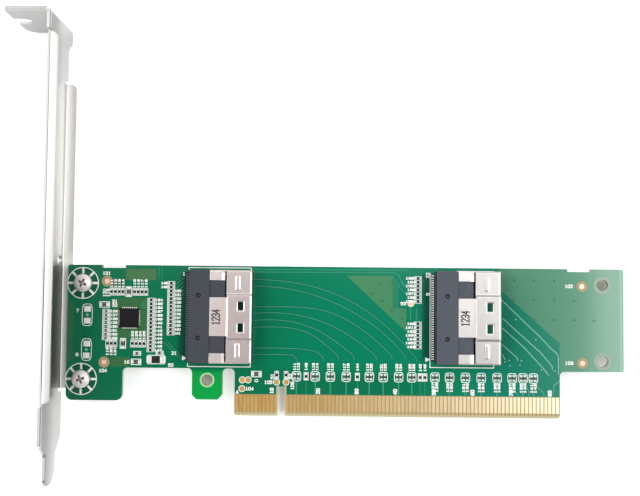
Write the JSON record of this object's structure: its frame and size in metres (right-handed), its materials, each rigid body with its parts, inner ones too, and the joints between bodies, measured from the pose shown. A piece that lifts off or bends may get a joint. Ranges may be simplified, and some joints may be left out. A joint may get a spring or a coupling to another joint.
{
  "type": "edge connector adapter card",
  "caption": "Green expansion board with gold edge fingers, shielded right-angle cable receptacles and a tall folded steel slot bracket.",
  "frame": {"origin": "middle of the key notch on the edge of the finger tips, half way through the board's thickness", "axes": "+X along the board away from the bracket, +Y from the finger edge to the top edge, +Z out of the component side"},
  "size_m": [0.1589, 0.1201, 0.0216],
  "materials": {
    "solder_mask": "green solder mask over laminate, satin",
    "gold": "gold plated, smooth",
    "bracket_steel": "bright plated sheet",
    "screw_steel": "bright plated",
    "housing_plastic": "fine matte mould",
    "shell_steel": "satin plated sheet",
    "contact_tin": "tinned",
    "contact_gold": "gold plated",
    "chip_case": "matte moulding",
    "capacitor_body": "fired ceramic",
    "resistor_body": "dark glazed top"
  },
  "bodies": {
    "root": {"circuit_board": "solder_mask", "contact_fingers_front": "gold", "contact_fingers_back": "gold", "bracket": "bracket_steel", "bracket_screws": "screw_steel", "receptacle_1_housing": "housing_plastic", "receptacle_2_housing": "housing_plastic", "receptacle_1_shell": "shell_steel", "receptacle_2_shell": "shell_steel", "receptacle_1_contact_tails": "contact_tin", "receptacle_2_contact_tails": "contact_tin", "receptacle_1_contact_tips": "contact_gold", "receptacle_2_contact_tips": "contact_gold", "buffer_chip": "chip_case", "buffer_chip_leads": "contact_tin", "coupling_capacitors": "capacitor_body", "setting_resistors": "resistor_body", "strap_resistors": "resistor_body", "filter_capacitors": "capacitor_body", "power_link": "resistor_body"}
  },
  "joints": []
}
